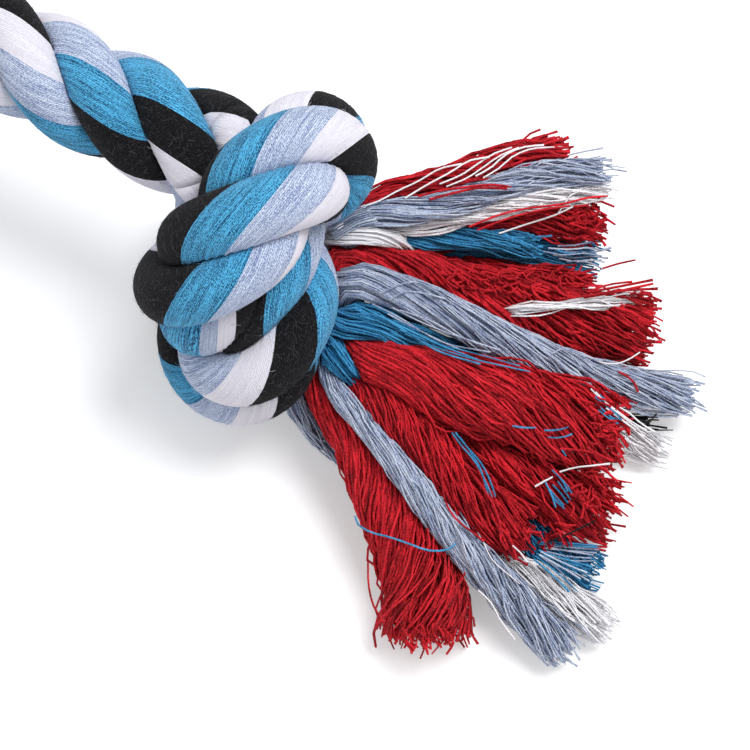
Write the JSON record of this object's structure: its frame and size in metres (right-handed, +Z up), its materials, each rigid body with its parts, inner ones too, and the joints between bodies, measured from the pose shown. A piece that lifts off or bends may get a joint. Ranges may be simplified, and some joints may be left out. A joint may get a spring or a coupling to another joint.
{
  "type": "rope dog toy",
  "caption": "Soft three-strand twisted cotton rope tug toy with an overhand knot and an open yarn tassel at each end.",
  "frame": {"origin": "centre of the bounding box in plan, on the floor that the toy lies on", "axes": "+X along the rope towards the pictured knot, +Z up, +Y across the rope"},
  "size_m": [0.2788, 0.0962, 0.062],
  "materials": {
    "laid_strand": "matt soft cotton yarn in quarters of black, white, light blue and turquoise",
    "red_yarn": "matt soft cotton yarn",
    "black_yarn": "matt soft cotton yarn",
    "white_yarn": "matt soft cotton yarn",
    "light_blue_yarn": "matt soft cotton yarn",
    "turquoise_yarn": "matt soft cotton yarn"
  },
  "bodies": {
    "root": {"far_knot_strand_a": "laid_strand", "far_knot_strand_b": "laid_strand", "far_knot_strand_c": "laid_strand", "far_tassel_a_black": "black_yarn", "far_tassel_a_light_blue": "light_blue_yarn", "far_tassel_a_red_1": "red_yarn", "far_tassel_a_red_2": "red_yarn", "far_tassel_a_turquoise": "turquoise_yarn", "far_tassel_a_white": "white_yarn", "far_tassel_b_black": "black_yarn", "far_tassel_b_light_blue": "light_blue_yarn", "far_tassel_b_red_1": "red_yarn", "far_tassel_b_red_2": "red_yarn", "far_tassel_b_turquoise": "turquoise_yarn", "far_tassel_b_white": "white_yarn", "far_tassel_c_black": "black_yarn", "far_tassel_c_light_blue": "light_blue_yarn", "far_tassel_c_red_1": "red_yarn", "far_tassel_c_red_2": "red_yarn", "far_tassel_c_turquoise": "turquoise_yarn", "far_tassel_c_white": "white_yarn", "near_knot_strand_a": "laid_strand", "near_knot_strand_b": "laid_strand", "near_knot_strand_c": "laid_strand", "near_tassel_a_black": "black_yarn", "near_tassel_a_light_blue": "light_blue_yarn", "near_tassel_a_red_1": "red_yarn", "near_tassel_a_red_2": "red_yarn", "near_tassel_a_turquoise": "turquoise_yarn", "near_tassel_a_white": "white_yarn", "near_tassel_b_black": "black_yarn", "near_tassel_b_light_blue": "light_blue_yarn", "near_tassel_b_red_1": "red_yarn", "near_tassel_b_red_2": "red_yarn", "near_tassel_b_turquoise": "turquoise_yarn", "near_tassel_b_white": "white_yarn", "near_tassel_c_black": "black_yarn", "near_tassel_c_light_blue": "light_blue_yarn", "near_tassel_c_red_1": "red_yarn", "near_tassel_c_red_2": "red_yarn", "near_tassel_c_turquoise": "turquoise_yarn", "near_tassel_c_white": "white_yarn", "rope_strand_a": "laid_strand", "rope_strand_b": "laid_strand", "rope_strand_c": "laid_strand"}
  },
  "joints": []
}
